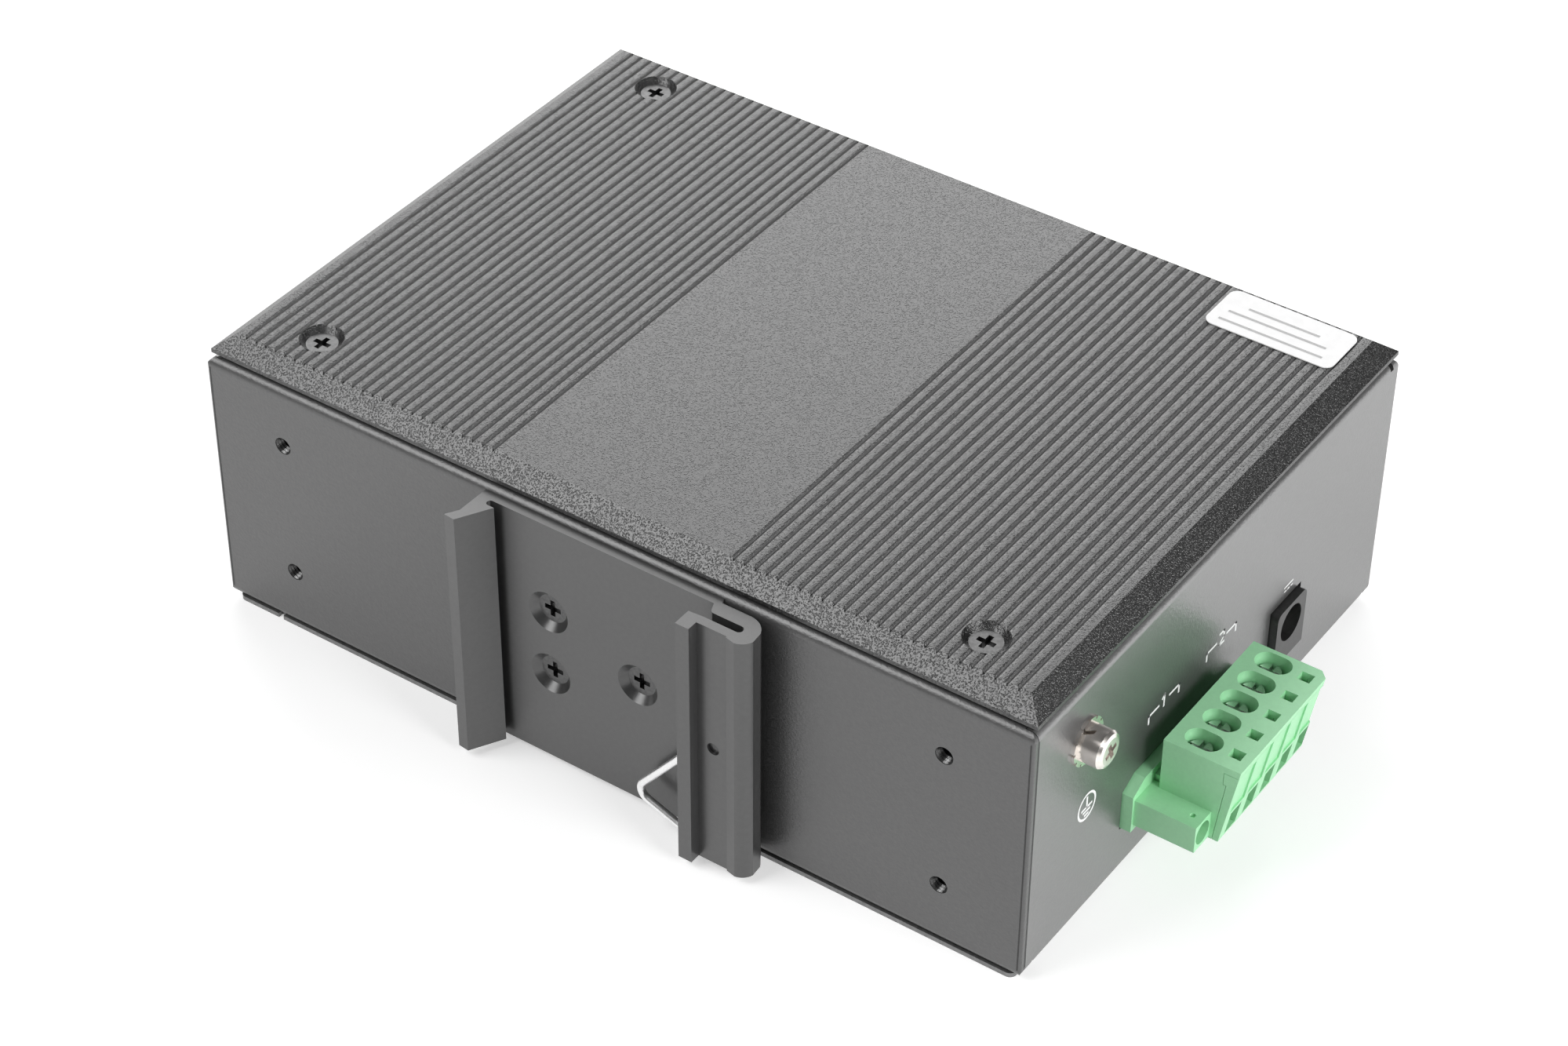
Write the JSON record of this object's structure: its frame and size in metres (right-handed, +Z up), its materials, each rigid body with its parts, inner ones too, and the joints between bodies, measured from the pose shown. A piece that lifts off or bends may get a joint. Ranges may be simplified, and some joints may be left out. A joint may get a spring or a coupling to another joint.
{
  "type": "rail mount network switch",
  "caption": "Industrial rail-mount network switch with ribbed metal cover, green screw terminals, power jack, stacked ports and a spring rail bracket",
  "frame": {"origin": "centre of the case's footprint at the underside of the base sheet", "axes": "+X along the long edge toward the terminal end, +Y toward the port face, +Z up from the base"},
  "size_m": [0.1644, 0.1136, 0.0514],
  "materials": {
    "case_paint": "satin",
    "cover_paint": "textured",
    "base_zinc": "satin",
    "bracket_black": "anodised",
    "screw_steel": "satin",
    "spring_steel": "polished",
    "nickel": "polished",
    "label_white": "matte",
    "terminal_green": "satin",
    "clamp_steel": "satin",
    "contact_gold": "polished",
    "jack_black": "satin",
    "board_green": "satin",
    "port_black": "matte",
    "shield_steel": "satin",
    "pipe_clear": "clear",
    "part_black": "matte",
    "inductor_grey": "matte",
    "can_metal": "satin",
    "heat_metal": "milled",
    "pad_grey": "matte"
  },
  "bodies": {
    "root": {"case_wrap": "case_paint", "back_sheet": "case_paint", "base_sheet": "base_zinc", "ribbed_cover": "cover_paint", "corner_pillars": "heat_metal", "cover_screws": "screw_steel", "base_screws": "screw_steel", "seal_label": "label_white", "rail_bracket": "bracket_black", "bracket_screws": "screw_steel", "spring_pin": "screw_steel", "wire_spring": "spring_steel", "terminal_header": "terminal_green", "header_pins": "contact_gold", "terminal_plug": "terminal_green", "plug_face": "terminal_green", "plug_clamps": "clamp_steel", "clamp_screws": "clamp_steel", "flange_screw": "clamp_steel", "power_jack": "jack_black", "jack_pin": "nickel", "toothed_washer": "nickel", "lock_washer": "nickel", "ground_screw": "nickel", "ground_nut": "nickel", "circuit_board": "board_green", "board_standoffs": "nickel", "board_screws": "screw_steel", "port_block": "port_black", "port_shield": "shield_steel", "port_contacts": "contact_gold", "optical_cage_left": "shield_steel", "optical_cage_right": "shield_steel", "cage_connectors": "part_black", "light_pipes": "pipe_clear", "switch_chip": "part_black", "thermal_pads": "pad_grey", "heat_block": "heat_metal", "magnetics": "part_black", "inductors": "inductor_grey", "capacitors": "can_metal"}
  },
  "joints": []
}
